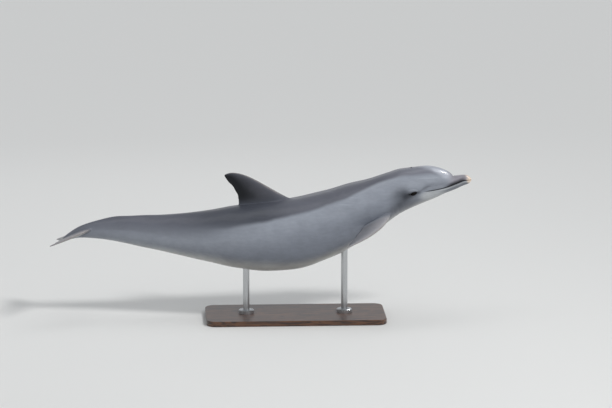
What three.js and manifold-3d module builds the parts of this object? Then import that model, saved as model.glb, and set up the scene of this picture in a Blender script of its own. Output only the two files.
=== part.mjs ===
// A bottlenose dolphin as a life-size, still display model on a plain stand: a flat base and two short rods.
//
// Millimetres, +Z up. The origin is the centre of the base's underside, +X points to the snout and +Y to the
// animal's left. Inside the animal's own group the origin is the tip of the snout and "back" is the distance
// behind it, so a point at back = 352 has x = -352.
//
// One function, skinPoint, gives the surface of the whole body. The fins are blades swept between a leading
// and a trailing edge. The body is then parted with thin cuts into the parts that a person would name.

import * as THREE from "three";
import { mergeVertices } from "three/addons/utils/BufferGeometryUtils.js";
import Module from "manifold-3d";

const wasm = await Module();
wasm.setup();

const DEG = Math.PI / 180;

// ---------------------------------------------------------------- driving dimensions

// Where the snout tip stands over the base.
const SNOUT_AHEAD = 1040;
const SNOUT_HEIGHT = 822;

// Thin gap between neighbouring parts.
const GAP = 0.3;

// How far the blocks that part the body reach: past the whole body, and past the jaws.
const ROOM = 1200;
const JAW_ROOM = 150;

// Lines of the body, each a few [back, size] pairs that a smooth curve joins.
// The beak's top runs up to the crease in front of the melon. The back's line takes over there.
const CREASE = 106;
const BEAK_TOP = [[0, 14], [18, 24], [45, 28], [CREASE, 23]];
const BACK_LINE = [
  [CREASE, 23], [128, 44], [158, 61], [200, 76], [262, 86], [346, 77], [422, 68], [482, 49],
  [600, 11], [700, -13], [835, -51], [1055, -101], [1370, -139], [1660, -182], [1890, -195], [2070, -197],
  [2190, -219], [2300, -252], [2410, -322],
];
const UNDERSIDE = [
  [0, -20], [40, -31], [98, -56], [157, -77], [216, -105], [304, -140], [420, -194], [600, -324],
  [835, -456], [1055, -524], [1200, -533], [1370, -516], [1540, -479], [1775, -421], [2010, -366],
  [2190, -331], [2300, -325], [2410, -346],
];
const HALF_WIDTH = [
  [0, 30], [40, 39], [80, 49], [CREASE, 58], [140, 74], [200, 92], [250, 105], [346, 122], [490, 155],
  [612, 180], [735, 199], [980, 217], [1225, 204], [1470, 165], [1715, 109], [1960, 66], [2190, 37],
  [2300, 30], [2410, 15],
];
// The level of the body's greatest width: the mouth's line on the beak, the middle of the trunk behind.
const WIDEST_LEVEL = [
  [0, 1], [40, 2], [88, -12], [136, -26], [186, -37], [276, -49], [352, -58], [482, -100], [600, -157],
  [835, -253], [1055, -312], [1370, -328], [1660, -319], [2010, -282], [2190, -275], [2300, -288],
  [2410, -336],
];
// Exponent of the cross-section: 2 is an ellipse, more is squarer, less is keeled.
const SQUARENESS = [
  [0, 2.3], [CREASE, 2.3], [180, 2.1], [600, 2.1], [1300, 2.05], [1700, 1.85], [2100, 1.7], [2410, 2],
];
const BODY_LENGTH = 2410;
const SNOUT_ROUNDING = 30;
const TAIL_ROUNDING = 30;
// The melon's front falls back by this much from the midline to the sides of the beak.
const MELON_SWEEP = 34;
const MELON_SWEEP_END = 260;

// The tail turns a little about its own length, right side up.
const TAIL_ROLL = -8 * DEG;
const ROLL_START = 1450;
const ROLL_END = 2200;

// The mouth: its line along the side of the head, and how far the cuts behind the jaw and the beak lean, as
// the distance back for each unit down.
const MOUTH_LINE = [[-20, 5], [41, 3], [88, -11], [135, -25], [186, -36], [233, -44], [280, -49]];
const MOUTH_CORNER = 280;
const MOUTH_STEPS = 14;
const JAW_CUT_LEAN = 0.17;
const BEAK_CUT_LEAN = 0.37;

// Eyes.
const EYE_BACK = 352;
const EYE_RADIUS = 20;
const EYE_SINK = 15;

// Stations of the cuts across the body.
const NECK_CUT = 432;
const WAIST_CUT = 985;
const VENT_CUT = 1560;
const FLUKE_CUT = 2214;

// Dorsal fin: each edge is a cubic Bezier curve of [back, height] points from the base to the tip.
const DORSAL_LEAD = [[1030, -120], [1238, -24], [1332, 86], [1461, 44]];
const DORSAL_TRAIL = [[1386, -176], [1354, -80], [1400, -26], [1461, 44]];
const DORSAL_THICKNESS = [[0, 46], [0.25, 34], [0.6, 20], [0.9, 9], [1, 3]];

// Flippers: edges as [back, outward] points from the middle of the root.
const FLIPPER_LEAD = [[-66, -34], [-50, 100], [46, 214], [222, 258]];
const FLIPPER_TRAIL = [[66, -34], [108, 46], [146, 140], [222, 258]];
const FLIPPER_THICKNESS = [[0, 34], [0.3, 28], [0.7, 16], [0.92, 8], [1, 3]];
const FLIPPER_ROOT = [546, 142, -196];
const FLIPPER_DROOP = 17 * DEG;
const FLIPPER_PITCH = -15 * DEG;

// Flukes: edges as [back, outward] points in the plane of the flukes, from the insertion.
const FLUKE_LEAD = [[-38, -10], [8, 88], [104, 232], [226, 285]];
const FLUKE_TRAIL = [[162, -10], [224, 46], [188, 150], [226, 285]];
const FLUKE_THICKNESS = [[0, 30], [0.2, 24], [0.6, 14], [0.92, 6], [1, 3]];
const FLUKE_ROOT = [2252, -278];
const FLUKE_PITCH = 20 * DEG;

// Rounding added to a blade's edges, as half a thickness.
const EDGE_ROUNDING = 1.2;

// Mesh density.
const NOSE_RINGS = 5;
const NOSE_LENGTH = 22;
const BODY_RINGS = 68;
const BODY_COLUMNS = 28;
const RING_EVENNESS = 0.22;
const BLADE_RINGS = 14;
const BLADE_COLUMNS = 16;
const EYE_COLUMNS = 16;

// Stand.
const BASE_LENGTH = 1060;
const BASE_WIDTH = 460;
const BASE_THICKNESS = 32;
const BASE_CORNER = 60;
const BASE_EDGE = 4;
const ROD_RADIUS = 19;
const ROD_OFFSET = 290;
const ROD_SIDES = 24;
const COLLAR_RADIUS = 46;
const COLLAR_HEIGHT = 22;
const COLLAR_EDGE = 4;

// ---------------------------------------------------------------- curves

/** A smooth function through [at, value] pairs that never swings past them. */
function curveThrough(pairs) {
  const steps = pairs.slice(1).map(([at, value], i) => (value - pairs[i][1]) / (at - pairs[i][0]));
  const slopes = pairs.map((pair, i) => {
    if (i === 0) return steps[0];
    if (i === steps.length) return steps[i - 1];
    const [before, after] = [steps[i - 1], steps[i]];
    return before * after <= 0 ? 0 : (2 * before * after) / (before + after);
  });
  return (at) => {
    const last = pairs.length - 2;
    const found = pairs.findIndex((pair, i) => i <= last && at < pairs[i + 1][0]);
    const i = found < 0 ? last : found;
    const width = pairs[i + 1][0] - pairs[i][0];
    const t = THREE.MathUtils.clamp((at - pairs[i][0]) / width, 0, 1);
    const rise = t * t * (3 - 2 * t);
    const lead = t * (1 - t) * (1 - t) * slopes[i];
    const trail = t * t * (t - 1) * slopes[i + 1];
    return pairs[i][1] + (pairs[i + 1][1] - pairs[i][1]) * rise + width * (lead + trail);
  };
}

/** A quarter-ellipse rise from 0 to 1 over a rounded end. */
function roundedEnd(distance, radius) {
  const t = THREE.MathUtils.clamp(1 - distance / radius, 0, 1);
  return Math.sqrt(1 - t * t);
}

const beakTop = curveThrough(BEAK_TOP);
const backLine = curveThrough(BACK_LINE);
const underside = curveThrough(UNDERSIDE);
const halfWidth = curveThrough(HALF_WIDTH);
const widestLevel = curveThrough(WIDEST_LEVEL);
const squareness = curveThrough(SQUARENESS);
const mouthLine = curveThrough(MOUTH_LINE);

function topLine(back) {
  return back < CREASE ? beakTop(back) : backLine(back);
}

function tailRoll(back) {
  return TAIL_ROLL * THREE.MathUtils.smoothstep(back, ROLL_START, ROLL_END);
}

// ---------------------------------------------------------------- surfaces

/**
 * A point of the body's surface. "around" is 0 on the ridge of the back, a quarter turn on the left side and
 * half a turn on the belly. "grow" swells the body by that much.
 */
function skinPoint(back, around, grow = 0) {
  const rise = Math.cos(around);
  const out = Math.sin(around);
  const power = 2 / squareness(back);
  const ends = roundedEnd(back, SNOUT_ROUNDING) * roundedEnd(BODY_LENGTH - back, TAIL_ROUNDING);
  const swept = MELON_SWEEP * out * out * THREE.MathUtils.clamp(1 - back / MELON_SWEEP_END, 0, 1);
  const level = widestLevel(back);
  const edge = rise > 0 ? topLine(Math.max(back - swept, Math.min(back, CREASE))) : underside(back);
  const height = Math.abs(edge - level) * ends + grow;
  const width = halfWidth(back) * ends + grow;
  const y = width * Math.sign(out) * Math.abs(out) ** power;
  const z = height * Math.sign(rise) * Math.abs(rise) ** power;
  const roll = tailRoll(back);
  return new THREE.Vector3(
    -back,
    y * Math.cos(roll) - z * Math.sin(roll),
    level + y * Math.sin(roll) + z * Math.cos(roll),
  );
}

/** A blade's half thickness as a share of its greatest, from its leading edge at 0 to its trailing edge. */
function bladeSection(chord) {
  const t = THREE.MathUtils.clamp(chord, 0, 1);
  return 2.969 * Math.sqrt(t) - 1.26 * t - 3.516 * t * t + 2.843 * t ** 3 - 1.036 * t ** 4;
}

/** A sphere whose points are moved by place(around, along), with along from 0 to 1 between its poles. */
function mouldedSphere(columns, rings, place) {
  const geometry = new THREE.SphereGeometry(1, columns, rings);
  const { position, uv } = geometry.attributes;
  for (let i = 0; i < position.count; i += 1) {
    const along = 1 - uv.getY(i);
    const column = i % (columns + 1) % columns;
    const point = place((column / columns) * 2 * Math.PI, along);
    position.setXYZ(i, point.x, point.y, point.z);
  }
  return geometry;
}

/** How far behind the snout a ring of the body lies: closest on the nose, then ever wider to the tail. */
function ringBack(along) {
  const ring = along * BODY_RINGS;
  if (ring < NOSE_RINGS) {
    return NOSE_LENGTH * (ring / NOSE_RINGS) ** 2;
  }
  const rest = (ring - NOSE_RINGS) / (BODY_RINGS - NOSE_RINGS);
  return NOSE_LENGTH + (BODY_LENGTH - NOSE_LENGTH) * rest * (RING_EVENNESS + (1 - RING_EVENNESS) * rest);
}

/** The body from the snout to the end of the tail's ridge. */
function bodyGeometry(grow = 0) {
  return mouldedSphere(BODY_COLUMNS, BODY_RINGS, (around, along) => {
    return skinPoint(ringBack(along), around, along === 0 || along === 1 ? 0 : grow);
  });
}

function edgePoint(edge, along) {
  const points = edge.map(([x, y]) => new THREE.Vector2(x, y));
  return new THREE.CubicBezierCurve(...points).getPoint(along);
}

/**
 * A blade between two edges. settle(back, outward, offset) carries a point of its plane, lifted by an offset,
 * to where the blade stands. The root is cut flat and the tip closes to a point.
 */
function bladeGeometry(lead, trail, thickness, settle) {
  const thick = curveThrough(thickness);
  return mouldedSphere(BLADE_COLUMNS, BLADE_RINGS, (around, along) => {
    const span = Math.max(0, (along * BLADE_RINGS - 1) / (BLADE_RINGS - 1));
    const chord = along === 0 ? 0.5 : (1 - Math.cos(around)) / 2;
    const point = edgePoint(lead, span).lerp(edgePoint(trail, span), chord);
    const flat = along === 0 || along === 1;
    const side = Math.sin(around);
    const half = flat ? 0 : (thick(span) / 2) * bladeSection(chord) + EDGE_ROUNDING * Math.abs(side);
    return settle(point.x, point.y, half * Math.sign(side));
  });
}

// ---------------------------------------------------------------- solids

/** A closed geometry as a solid, turned right side out if its faces wind inwards. */
function solid(geometry) {
  const bare = new THREE.BufferGeometry();
  bare.setAttribute("position", geometry.attributes.position.clone());
  if (geometry.index) {
    bare.setIndex(geometry.index.clone());
  }
  const merged = mergeVertices(bare, 1e-3);
  const vertProperties = new Float32Array(merged.attributes.position.array);
  const corners = Array.from(merged.index.array);
  const triVerts = [];
  for (let i = 0; i < corners.length; i += 3) {
    const [a, b, c] = corners.slice(i, i + 3);
    if (a !== b && b !== c && c !== a) {
      triVerts.push(a, b, c);
    }
  }
  if (enclosedVolume(vertProperties, triVerts) < 0) {
    triVerts.reverse();
  }
  const mesh = new wasm.Mesh({ numProp: 3, vertProperties, triVerts: new Uint32Array(triVerts) });
  return new wasm.Manifold(mesh);
}

function enclosedVolume(points, corners) {
  const [a, b, c] = [new THREE.Vector3(), new THREE.Vector3(), new THREE.Vector3()];
  let volume = 0;
  for (let i = 0; i < corners.length; i += 3) {
    a.fromArray(points, corners[i] * 3);
    b.fromArray(points, corners[i + 1] * 3);
    c.fromArray(points, corners[i + 2] * 3);
    volume += a.dot(b.cross(c)) / 6;
  }
  return volume;
}

/** A solid as a geometry for a mesh. */
function geometryOf(body) {
  const mesh = body.getMesh();
  const geometry = new THREE.BufferGeometry();
  geometry.setAttribute("position", new THREE.BufferAttribute(new Float32Array(mesh.vertProperties), 3));
  geometry.setIndex(new THREE.BufferAttribute(new Uint32Array(mesh.triVerts), 1));
  geometry.computeVertexNormals();
  return geometry;
}

/** All that lies between two stations of the body and two sides. */
function slice(from, to, right = -ROOM, left = ROOM) {
  const box = new THREE.BoxGeometry(to - from, left - right, 2 * ROOM);
  box.translate(-(from + to) / 2, (left + right) / 2, 0);
  return solid(box);
}

/** A wall-to-wall prism over an outline of [back, height] points. */
function prism(outline) {
  const shape = new THREE.Shape(outline.map(([back, height]) => new THREE.Vector2(-back, height)));
  const geometry = new THREE.ExtrudeGeometry(shape, { depth: 2 * ROOM, bevelEnabled: false });
  geometry.rotateX(Math.PI / 2);
  geometry.translate(0, ROOM, 0);
  return solid(geometry);
}

// ---------------------------------------------------------------- body

/** All below the mouth's line and in front of a leaning cut behind its corner. */
function lowerJawSpace(grow) {
  const start = MOUTH_LINE[0][0];
  const lips = Array.from({ length: MOUTH_STEPS + 1 }, (_, i) => {
    const back = start + ((MOUTH_CORNER + grow - start) * i) / MOUTH_STEPS;
    return [back, mouthLine(back) + grow];
  });
  const floor = mouthLine(MOUTH_CORNER) - JAW_ROOM;
  return prism([
    ...lips,
    [MOUTH_CORNER + grow + JAW_ROOM * JAW_CUT_LEAN, floor],
    [start, floor],
  ]);
}

/** All in front of a leaning cut through the crease below the melon. */
function beakSpace(grow) {
  const cutBack = (height) => CREASE + grow + (beakTop(CREASE) - height) * BEAK_CUT_LEAN;
  return prism([
    [-JAW_ROOM, JAW_ROOM],
    [-JAW_ROOM, -JAW_ROOM],
    [cutBack(-JAW_ROOM), -JAW_ROOM],
    [cutBack(JAW_ROOM), JAW_ROOM],
  ]);
}

function eyeCentre(side) {
  const surface = skinPoint(EYE_BACK, (side * Math.PI) / 2);
  return surface.setY(surface.y - side * EYE_SINK);
}

function eyeball(side, grow) {
  const ball = new THREE.SphereGeometry(EYE_RADIUS + grow, EYE_COLUMNS, EYE_COLUMNS / 2);
  ball.rotateX(Math.PI / 2);
  const centre = eyeCentre(side);
  ball.translate(centre.x, centre.y, centre.z);
  return solid(ball);
}

function dorsalFin(skin) {
  const place = (back, height, offset) => new THREE.Vector3(-back, offset, height);
  return solid(bladeGeometry(DORSAL_LEAD, DORSAL_TRAIL, DORSAL_THICKNESS, place)).subtract(skin);
}

/** side is 1 on the left and -1 on the right. */
function flipper(side, skin) {
  const [rootBack, rootOut, rootHeight] = FLIPPER_ROOT;
  const place = (back, outward, offset) => {
    const chord = back * Math.cos(FLIPPER_PITCH);
    const lift = offset + back * Math.sin(FLIPPER_PITCH);
    return new THREE.Vector3(
      -(rootBack + chord),
      side * (rootOut + outward * Math.cos(FLIPPER_DROOP) + lift * Math.sin(FLIPPER_DROOP)),
      rootHeight - outward * Math.sin(FLIPPER_DROOP) + lift * Math.cos(FLIPPER_DROOP),
    );
  };
  return solid(bladeGeometry(FLIPPER_LEAD, FLIPPER_TRAIL, FLIPPER_THICKNESS, place)).subtract(skin);
}

/** One fluke from just past the midline to its tip, in the rolled and pitched plane of the tail's end. */
function flukeBlade(side) {
  const [rootBack, rootHeight] = FLUKE_ROOT;
  const place = (back, outward, offset) => {
    const y = side * outward * Math.cos(TAIL_ROLL) - offset * Math.sin(TAIL_ROLL);
    const lift = side * outward * Math.sin(TAIL_ROLL) + offset * Math.cos(TAIL_ROLL);
    return new THREE.Vector3(
      -(rootBack + back * Math.cos(FLUKE_PITCH) + lift * Math.sin(FLUKE_PITCH)),
      y,
      rootHeight - back * Math.sin(FLUKE_PITCH) + lift * Math.cos(FLUKE_PITCH),
    );
  };
  return solid(bladeGeometry(FLUKE_LEAD, FLUKE_TRAIL, FLUKE_THICKNESS, place));
}

function bodyParts() {
  const body = solid(bodyGeometry());
  const grown = solid(bodyGeometry(GAP));
  const upperHead = body.subtract(lowerJawSpace(GAP)).intersect(slice(-ROOM, NECK_CUT));
  const flukes = body
    .add(flukeBlade(1))
    .add(flukeBlade(-1))
    .intersect(slice(FLUKE_CUT + GAP, 2 * BODY_LENGTH));
  return {
    head: upperHead.subtract(beakSpace(GAP)).subtract(eyeball(1, GAP)).subtract(eyeball(-1, GAP)),
    upper_jaw: upperHead.intersect(beakSpace(0)),
    lower_jaw: body.intersect(lowerJawSpace(0)),
    eye_left: eyeball(1, 0),
    eye_right: eyeball(-1, 0),
    trunk_front: body.intersect(slice(NECK_CUT + GAP, WAIST_CUT)),
    trunk_rear: body.intersect(slice(WAIST_CUT + GAP, VENT_CUT)),
    tail_stock: body.intersect(slice(VENT_CUT + GAP, FLUKE_CUT)),
    dorsal_fin: dorsalFin(grown),
    flipper_left: flipper(1, grown),
    flipper_right: flipper(-1, grown),
    fluke_left: flukes.intersect(slice(FLUKE_CUT, 2 * BODY_LENGTH, GAP / 2, ROOM)),
    fluke_right: flukes.intersect(slice(FLUKE_CUT, 2 * BODY_LENGTH, -ROOM, -GAP / 2)),
  };
}

// ---------------------------------------------------------------- stand

/** A rounded slab with a small chamfer round its top and bottom. */
function standBase() {
  const shape = new THREE.Shape();
  const [x, y] = [BASE_LENGTH / 2 - BASE_EDGE, BASE_WIDTH / 2 - BASE_EDGE];
  const corner = BASE_CORNER - BASE_EDGE;
  shape.absarc(x - corner, y - corner, corner, 0, Math.PI / 2);
  shape.absarc(-x + corner, y - corner, corner, Math.PI / 2, Math.PI);
  shape.absarc(-x + corner, -y + corner, corner, Math.PI, 1.5 * Math.PI);
  shape.absarc(x - corner, -y + corner, corner, 1.5 * Math.PI, 2 * Math.PI);
  const geometry = new THREE.ExtrudeGeometry(shape, {
    depth: BASE_THICKNESS - 2 * BASE_EDGE,
    bevelThickness: BASE_EDGE,
    bevelSize: BASE_EDGE,
    bevelSegments: 1,
    curveSegments: 6,
  });
  geometry.translate(0, 0, BASE_EDGE);
  return solid(geometry);
}

/** A turned ring on the base, with the rod through it. */
function standCollar() {
  const bore = ROD_RADIUS + GAP;
  const outline = [
    [bore, 0], [COLLAR_RADIUS, 0], [COLLAR_RADIUS, COLLAR_HEIGHT - COLLAR_EDGE],
    [COLLAR_RADIUS - COLLAR_EDGE, COLLAR_HEIGHT], [bore, COLLAR_HEIGHT], [bore, 0],
  ];
  const geometry = new THREE.LatheGeometry(outline.map(([r, z]) => new THREE.Vector2(r, z)), ROD_SIDES);
  geometry.rotateX(Math.PI / 2);
  return solid(geometry);
}

/** A rod from the base up into the belly, cut off where it meets the skin. */
function standRod(ahead) {
  const bottom = BASE_THICKNESS + GAP;
  const top = SNOUT_HEIGHT + widestLevel(SNOUT_AHEAD - ahead);
  const geometry = new THREE.CylinderGeometry(ROD_RADIUS, ROD_RADIUS, top - bottom, ROD_SIDES);
  geometry.rotateX(Math.PI / 2);
  geometry.translate(ahead, 0, (top + bottom) / 2);
  const skin = bodyGeometry(GAP);
  skin.translate(SNOUT_AHEAD, 0, SNOUT_HEIGHT);
  return solid(geometry).subtract(solid(skin));
}

// ---------------------------------------------------------------- finishes and assembly

const FINISHES = {
  skin: { color: "#5f666e", roughness: 0.42, metalness: 0 },
  fin: { color: "#474c54", roughness: 0.4, metalness: 0 },
  pale: { color: "#9aa0a6", roughness: 0.45, metalness: 0 },
  eye: { color: "#17130f", roughness: 0.06, metalness: 0 },
  wood: { color: "#4a3022", roughness: 0.4, metalness: 0 },
  steel: { color: "#b9bcbf", roughness: 0.3, metalness: 1 },
};

const FINISH_OF = {
  lower_jaw: "pale",
  eye_left: "eye",
  eye_right: "eye",
  dorsal_fin: "fin",
  flipper_left: "fin",
  flipper_right: "fin",
  fluke_left: "fin",
  fluke_right: "fin",
};

function mesh(name, body, finish) {
  const result = new THREE.Mesh(geometryOf(body), new THREE.MeshStandardMaterial(FINISHES[finish]));
  result.name = name;
  return result;
}

function animal() {
  const group = new THREE.Group();
  for (const [name, body] of Object.entries(bodyParts())) {
    group.add(mesh(name, body, FINISH_OF[name] ?? "skin"));
  }
  group.position.set(SNOUT_AHEAD, 0, SNOUT_HEIGHT);
  return group;
}

function stand() {
  const group = new THREE.Group();
  group.add(mesh("stand_base", standBase(), "wood"));
  for (const [place, ahead] of [["front", ROD_OFFSET], ["rear", -ROD_OFFSET]]) {
    const collar = mesh(`stand_collar_${place}`, standCollar(), "steel");
    collar.position.set(ahead, 0, BASE_THICKNESS + GAP);
    group.add(collar, mesh(`stand_rod_${place}`, standRod(ahead), "steel"));
  }
  return group;
}

const model = new THREE.Group();
model.add(animal(), stand());

export default model;
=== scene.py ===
import math
from functools import partial

import bmesh
import bpy
import numpy as np
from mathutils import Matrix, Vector


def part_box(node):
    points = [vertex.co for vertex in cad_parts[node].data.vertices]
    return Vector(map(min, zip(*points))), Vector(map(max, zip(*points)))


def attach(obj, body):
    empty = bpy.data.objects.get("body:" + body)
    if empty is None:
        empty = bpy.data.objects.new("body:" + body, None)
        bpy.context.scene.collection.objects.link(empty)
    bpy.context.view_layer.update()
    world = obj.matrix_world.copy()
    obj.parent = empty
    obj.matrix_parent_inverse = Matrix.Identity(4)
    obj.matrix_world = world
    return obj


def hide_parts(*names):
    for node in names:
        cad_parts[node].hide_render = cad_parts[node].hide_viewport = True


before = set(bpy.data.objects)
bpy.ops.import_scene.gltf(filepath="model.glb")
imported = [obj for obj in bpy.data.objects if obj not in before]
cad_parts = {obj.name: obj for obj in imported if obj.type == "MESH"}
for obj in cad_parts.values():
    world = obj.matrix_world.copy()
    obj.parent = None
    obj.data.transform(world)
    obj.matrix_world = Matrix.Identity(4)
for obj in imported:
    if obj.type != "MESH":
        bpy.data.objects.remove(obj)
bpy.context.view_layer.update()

bl_info = {
    "name": "Display Dolphin",
    "version": (1, 0, 0),
    "blender": (4, 5, 0),
    "location": "View3D > Sidebar > Dolphin",
    "description": "Dresses the solids of a life-size bottlenose dolphin on its display stand",
    "category": "Add Mesh",
}

# The animal is measured in millimetres from the tip of its snout: "back" is the distance behind it, y is to
# the animal's left and z is up. MM turns these into the metres of the frame, and the snout is ahead of the
# frame's middle and over its floor by SNOUT_AHEAD and SNOUT_HEIGHT.
MM = 0.001
SNOUT_AHEAD = 1040
SNOUT_HEIGHT = 822
BODY_LENGTH = 2410

# ---- lines of the body, in millimetres

# Each line is pairs of the distance back and a height, or for HALF_WIDTH a width. The body is widest at the
# level of the mouth's line, which WIDEST_LEVEL carries on to the tail. CREASE lies between beak and melon.
CREASE = 106
BEAK_TOP = [[0, 14], [18, 24], [45, 28], [CREASE, 23]]
BACK_LINE = [
    [CREASE, 23], [128, 44], [158, 61], [200, 76], [262, 86], [346, 77], [422, 68], [482, 49],
    [600, 11], [700, -13], [835, -51], [1055, -101], [1370, -139], [1660, -182], [1890, -195], [2070, -197],
    [2190, -219], [2300, -252], [2410, -322],
]
UNDERSIDE = [
    [0, -20], [40, -31], [98, -56], [157, -77], [216, -105], [304, -140], [420, -194], [600, -324],
    [835, -456], [1055, -524], [1200, -533], [1370, -516], [1540, -479], [1775, -421], [2010, -366],
    [2190, -331], [2300, -325], [2410, -346],
]
HALF_WIDTH = [
    [0, 30], [40, 39], [80, 49], [CREASE, 58], [140, 74], [200, 92], [250, 105], [346, 122], [490, 155],
    [612, 180], [735, 199], [980, 217], [1225, 204], [1470, 165], [1715, 109], [1960, 66], [2190, 37],
    [2300, 30], [2410, 15],
]
WIDEST_LEVEL = [
    [0, 1], [40, 2], [88, -12], [136, -26], [186, -37], [276, -49], [352, -58], [482, -100], [600, -157],
    [835, -253], [1055, -312], [1370, -328], [1660, -319], [2010, -282], [2190, -275], [2300, -288],
    [2410, -336],
]
# Exponent of the cross-section: 2 is an ellipse, more is squarer, less is keeled.
SQUARENESS = [
    [0, 2.3], [CREASE, 2.3], [180, 2.1], [600, 2.1], [1300, 2.05], [1700, 1.85], [2100, 1.7], [2410, 2],
]
END_ROUNDING = 30
# Beside the head the crease lies further back by MELON_SWEEP, which fades out at MELON_SWEEP_END.
MELON_SWEEP = 34
MELON_SWEEP_END = 260
# The tail end is turned about its length by TAIL_ROLL.
TAIL_ROLL = math.radians(-8)
ROLL_START = 1450
ROLL_END = 2200
MOUTH_CORNER = 280

# Rings of the skin's cage: each station, and the rings from it to the next.
RING_STATIONS = [
    [20, 15], [CREASE, 4], [130, 20], [328, 4], [376, 4], [432, 3], [486, 8], [616, 12], [1036, 10],
    [1392, 14], [2150, 3], [2226, 9], [2390, 0],
]
# Columns along each side of the cage, which has four: the ridge of the back is column 0, the left side of the
# mouth SIDE_COLUMNS, the belly twice that.
SIDE_COLUMNS = 10
COLUMNS = 4 * SIDE_COLUMNS
SKIN_LEVELS = 2
# The caps of the cage run over the rounded ends by this angle.
CAP_ANGLE = math.radians(70.5)
# Beside the mouth the columns lie closer together.
MOUTH_TIGHTNESS = 0.6
# Corners of the cube closer than TINY are one, and a share within NEAR of 0 or 1 is at its patch's edge.
TINY = 1e-6
NEAR = 0.01
# Parts of the cage are sorted along this line, which is askew so that no two share a place on it.
SORTING_LINE = Vector((1, 0.618, 0.317))

# ---- fins, in millimetres

# Edges are Bezier curves of [back, outward] points, and thickness is [share of span, thickness] pairs. Each
# fin grows from the cage's faces between two stations and two columns.
DORSAL = {
    "lead": [[1030, -120], [1238, -24], [1332, 86], [1457, 49]],
    "trail": [[1386, -176], [1354, -80], [1400, -30], [1459, 27]],
    "thickness": [[0, 46], [0.25, 34], [0.6, 20], [0.9, 9], [1, 3]],
    "stations": (1036, 1392),
    "columns": (-1, 1),
}
FLIPPER = {
    "lead": [[-66, -34], [-50, 100], [46, 214], [222, 258]],
    "trail": [[66, -34], [108, 46], [146, 140], [222, 258]],
    "thickness": [[0, 34], [0.3, 28], [0.7, 16], [0.92, 8], [1, 3]],
    "stations": (486, 616),
    "columns": (12, 14),
}
FLIPPER_ROOT = [546, 142, -196]
FLIPPER_DROOP = math.radians(17)
FLIPPER_PITCH = math.radians(-15)
# The cage's columns slant across the flipper's root, so that they follow its pitch: by how much, over
# which distance, and how far the slant reaches along and across the body. FLIPPER_TURN is the root's place
# in eighths of a turn from the ridge.
FLIPPER_SLANT = 0.106
FLIPPER_SLANT_REACH = [65, 110, 0.9]
FLIPPER_TURN = 2.6
FLUKE = {
    "lead": [[-38, -10], [8, 88], [104, 232], [226, 285]],
    "trail": [[162, -10], [224, 46], [188, 150], [226, 285]],
    "thickness": [[0, 30], [0.2, 24], [0.6, 14], [0.92, 6], [1, 3]],
    "stations": (2226, 2390),
    "columns": (8, 12),
}
FLUKE_ROOT = [2252, -278]
FLUKE_PITCH = math.radians(20)
EDGE_ROUNDING = 1.2
# Terms of a wing's section: its half thickness from the leading edge to the trailing one.
SECTION_TERMS = [2.969, -1.26, -3.516, 2.843, -1.036]
# The root comes out of the body between these shares of the span, and is found by this many halvings.
ROOT_SPANS = (0.05, 0.7)
ROOT_HALVINGS = 24
# Layers of each fin, as shares of the way from the body's surface to the tip.
FIN_LAYERS = [0.0, 0.05, 0.14, 0.28, 0.44, 0.6, 0.74, 0.85, 0.92, 0.965, 0.99]
# Beyond this share of the span the tip is rounded.
TIP_ROUNDING = 0.88
# The ends of a layer turn round the fin's edges by this angle.
FIN_EDGE_TURN = math.radians(25)
# The fin's own colour comes in from this share at its root, and grows by this much along its length.
FIN_SHARE = [0.5, 2.5]
# The trailing edges wave a little: how far, how often along the span, and from where.
EDGE_WAVE = [1.4, 19, 2]

# ---- eyes and blowhole, in millimetres

# The middle of each eyeball lies EYE_SINK inside the side of the head.
EYE_BACK = 352
EYE_RADIUS = 20
EYE_SINK = 15
EYE_STATIONS = (328, 376)
EYE_COLUMNS = (9, 11)
EYE_TILT = math.radians(-11)
# Folds round the eye from outside to inside: half length, half height, lift off the body and darkness, which
# is partly dark skin and partly painted shade deepening towards the sunken eye.
EYE_FOLDS = [[27, 18, 0.6, 0.5], [24.5, 15, 2.0, 0.55], [22.6, 13, -1.4, 0.66], [20.4, 11, 1.6, 0.74]]
# Edges of the lids: half length, half height, lift off the eyeball and darkness, partly dark rims and partly
# painted shade.
LID_EDGES = [[18.4, 9.0, 1.9, 0.9], [17.4, 7.8, 0.5, 1]]
# The ends of the lids are pinched by this share, and the middle of a patch fills this share of its length.
LID_PINCH = 0.28
PATCH_MIDDLE = 0.8
# Closer to the eye than BALL_REACH, the folds stand clear of the ball. The lids lie under the head's skin by
# LID_SINK at most.
BALL_REACH = 17.32
FOLD_CLEARANCE = 1
LID_SINK = 4
# Behind the lids the skin lines a cup round the ball, at these angles from its front.
CUP_RADIUS = 21.3
# The cup's middle is pressed in by this share of its depth.
CUP_DISH = 0.4
CUP_ANGLES = [math.radians(a) for a in (66, 102, 145)]

BLOWHOLE_BACK = 358
BLOWHOLE_STATIONS = (340, 376)
BLOWHOLE_COLUMNS = (-1, 1)
# Edges of the blowhole from outside to inside: half width, half length and lift off the head.
BLOWHOLE_EDGES = [
    [18.5, 11, 0.3], [16.5, 8, 0.8], [14.8, 5, 0.4], [13.4, 2.8, -1.0], [12.6, 1.6, -6], [9, 1, -12],
]
# The blowhole's ends bend forwards by this much at its half width.
BLOWHOLE_BEND = 5
# The middle of its patch fills this share of its length. Its lips are this dark, and its slit is darkest:
# painted shade in the hole.
BLOWHOLE_MIDDLE = 0.6
LIP_DARKNESS = 0.6
# The eyes look outwards, a little forwards and down. The pupil is wider than it is high, and a little low.
GAZE = (0.18, -0.05)
PUPIL_WIDTH = 1.5
PUPIL_DROP = 0.05
CORNEA_WIDTH = 6
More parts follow.
